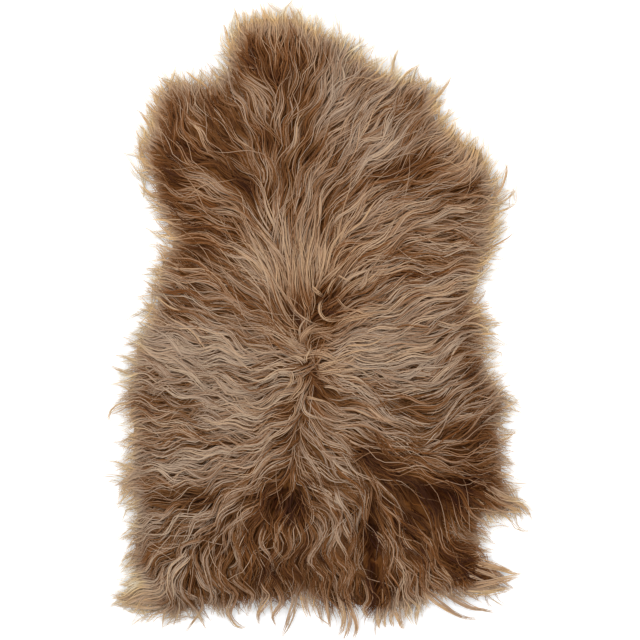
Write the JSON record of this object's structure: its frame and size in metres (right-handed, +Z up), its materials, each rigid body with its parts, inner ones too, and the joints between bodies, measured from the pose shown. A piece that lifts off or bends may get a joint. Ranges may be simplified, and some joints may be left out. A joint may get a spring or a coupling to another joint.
{
  "type": "sheepskin rug",
  "caption": "Long-haired sheepskin rug lying flat: one irregular skin with combed wool and a rim of loose locks.",
  "frame": {"origin": "middle of the bounding box, on the floor that the skin lies on", "axes": "+Z up out of the wool, +Y along the back towards the neck, +X to the right as seen from above with the neck away from the viewer"},
  "size_m": [0.663, 1.0214, 0.0706],
  "materials": {
    "wool": "soft, long-haired wool, mid to dark brown with pale tips"
  },
  "bodies": {
    "root": {"sheepskin": "wool"}
  },
  "joints": []
}
